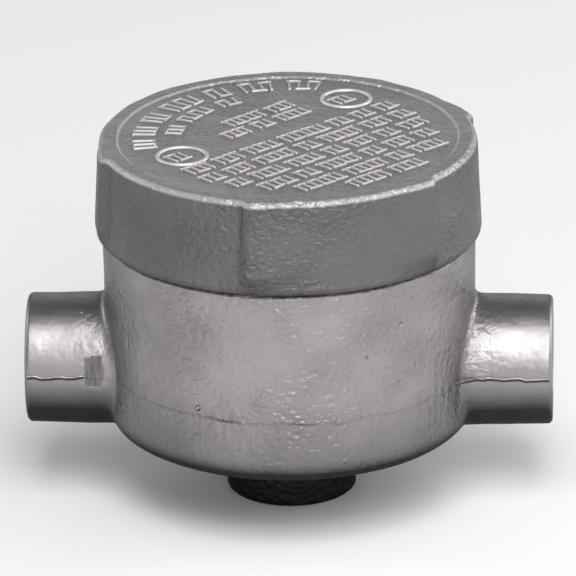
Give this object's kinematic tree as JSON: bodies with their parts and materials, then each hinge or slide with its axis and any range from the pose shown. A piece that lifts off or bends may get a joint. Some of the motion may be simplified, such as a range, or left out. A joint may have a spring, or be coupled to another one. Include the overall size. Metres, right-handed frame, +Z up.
{
  "type": "conduit body",
  "caption": "Round cast-iron conduit body with two side hubs, one bottom hub and a screw-on lugged cover.",
  "frame": {"origin": "centre of the bottom hub's mouth, which is the bottom centre of the whole part", "axes": "+Z up along the bottom hub, neck and cover thread; X along the two side hubs; -Y is the front"},
  "size_m": [0.1554, 0.1164, 0.1105],
  "materials": {
    "casting": "satin silver-grey lacquer on as-cast iron",
    "cover_casting": "satin silver-grey lacquer on as-cast iron",
    "ring": "matt black moulded rubber",
    "screw": "green dyed plating"
  },
  "bodies": {
    "box": {"body_casting": "casting", "ground_screw": "screw"},
    "seal": {"cover_o_ring": "ring"},
    "cover": {"cover": "cover_casting"}
  },
  "joints": [
    {"name": "cover_lift", "type": "slide", "parent": "box", "child": "seal", "axis": [0, 0, 1], "range_m": [0, 0.01482]},
    {"name": "cover_turn", "type": "hinge", "parent": "seal", "child": "cover", "pos_m": [0, 0, 0.08165], "axis": [0, 0, 1], "range_deg": [0, 2520]}
  ],
  "couplings": [
    {"joint": "cover_lift", "follows": "cover_turn", "m_per_rad": 0.00033688}
  ]
}
